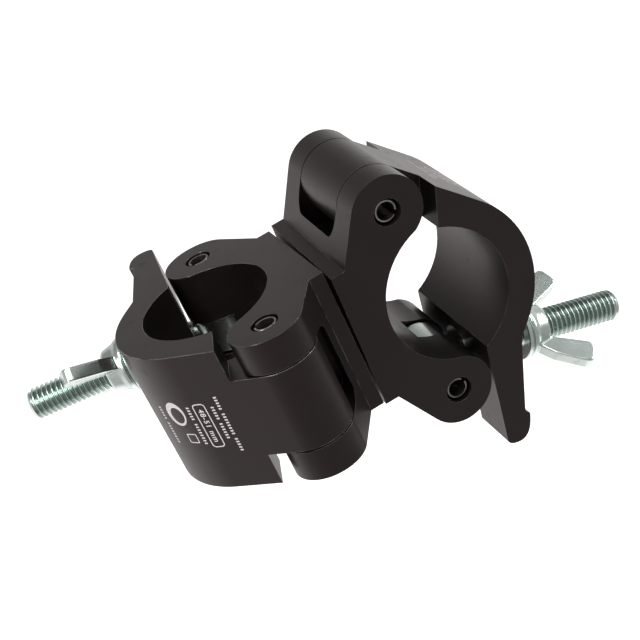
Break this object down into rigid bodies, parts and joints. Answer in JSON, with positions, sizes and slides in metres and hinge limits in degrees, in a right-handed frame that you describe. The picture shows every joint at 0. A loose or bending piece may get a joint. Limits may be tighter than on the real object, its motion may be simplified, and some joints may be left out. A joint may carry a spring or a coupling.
{
  "type": "swivel pipe clamp",
  "caption": "Swivel pipe clamp: two hinged half couplers back to back on a swivel bolt, each closed by a swing bolt with a wing nut.",
  "frame": {"origin": "centre of the tube that half A grips, half way along its extrusion", "axes": "+Z along the tube that half A grips; +X from half A to half B, along the swivel bolt; +Y towards half A's swing bolt"},
  "size_m": [0.1953, 0.1148, 0.1186],
  "materials": {
    "black_aluminium": "satin black anodised extrusion, clear of paint",
    "zinc_plated_steel": "bright zinc plate, slightly green-white",
    "spring_steel": "plain dark spring steel",
    "black_polymer": "matte black"
  },
  "bodies": {
    "half_a": {"saddle_a": "black_aluminium", "hinge_pin_a": "spring_steel", "bolt_pin_a": "spring_steel", "swivel_bolt": "spring_steel", "swivel_nut": "spring_steel", "thrust_washer": "black_polymer"},
    "cap_a": {"cap_a": "black_aluminium"},
    "bolt_a": {"eyebolt_a": "zinc_plated_steel"},
    "loose_washer_a": {"washer_a": "zinc_plated_steel"},
    "nut_a": {"wing_nut_a": "zinc_plated_steel"},
    "half_b": {"saddle_b": "black_aluminium", "hinge_pin_b": "spring_steel", "bolt_pin_b": "spring_steel"},
    "cap_b": {"cap_b": "black_aluminium"},
    "bolt_b": {"eyebolt_b": "zinc_plated_steel"},
    "loose_washer_b": {"washer_b": "zinc_plated_steel"},
    "nut_b": {"wing_nut_b": "zinc_plated_steel"}
  },
  "joints": [
    {"name": "swivel", "type": "hinge", "parent": "half_a", "child": "half_b", "pos_m": [0.0382, 0, 0], "axis": [1, 0, 0], "continuous": true},
    {"name": "nut_spin_a", "type": "hinge", "parent": "loose_washer_a", "child": "nut_a", "pos_m": [0.0136, 0.0352, 0], "axis": [-0.9617, 0.274, 0], "range_deg": [0, 5040]},
    {"name": "nut_travel_a", "type": "slide", "parent": "bolt_a", "child": "loose_washer_a", "axis": [-0.9617, 0.274, 0], "range_m": [0, 0.0254]},
    {"name": "cap_hinge_a", "type": "hinge", "parent": "half_a", "child": "cap_a", "pos_m": [0.0136, -0.0352, 0], "axis": [0, 0, 1], "range_deg": [0, 22]},
    {"name": "bolt_swing_a", "type": "hinge", "parent": "half_a", "child": "bolt_a", "pos_m": [0.0136, 0.0352, 0], "axis": [0, 0, -1], "range_deg": [0, 72]},
    {"name": "nut_spin_b", "type": "hinge", "parent": "loose_washer_b", "child": "nut_b", "pos_m": [0.0628, 0.00341, -0.03503], "axis": [0.9573, 0.028, -0.2877], "range_deg": [0, 5040]},
    {"name": "nut_travel_b", "type": "slide", "parent": "bolt_b", "child": "loose_washer_b", "axis": [0.9573, 0.028, -0.2877], "range_m": [0, 0.0254]},
    {"name": "cap_hinge_b", "type": "hinge", "parent": "half_b", "child": "cap_b", "pos_m": [0.0628, -0.00341, 0.03503], "axis": [0, -0.9953, -0.0969], "range_deg": [0, 22]},
    {"name": "bolt_swing_b", "type": "hinge", "parent": "half_b", "child": "bolt_b", "pos_m": [0.0628, 0.00341, -0.03503], "axis": [0, 0.9953, 0.0969], "range_deg": [0, 72]}
  ],
  "couplings": [
    {"joint": "nut_travel_a", "follows": "nut_spin_a", "m_per_rad": 0.00028871},
    {"joint": "cap_hinge_a", "follows": "nut_spin_a", "ratio": 0.0043651},
    {"joint": "nut_travel_b", "follows": "nut_spin_b", "m_per_rad": 0.00028871},
    {"joint": "cap_hinge_b", "follows": "nut_spin_b", "ratio": 0.0043651}
  ]
}
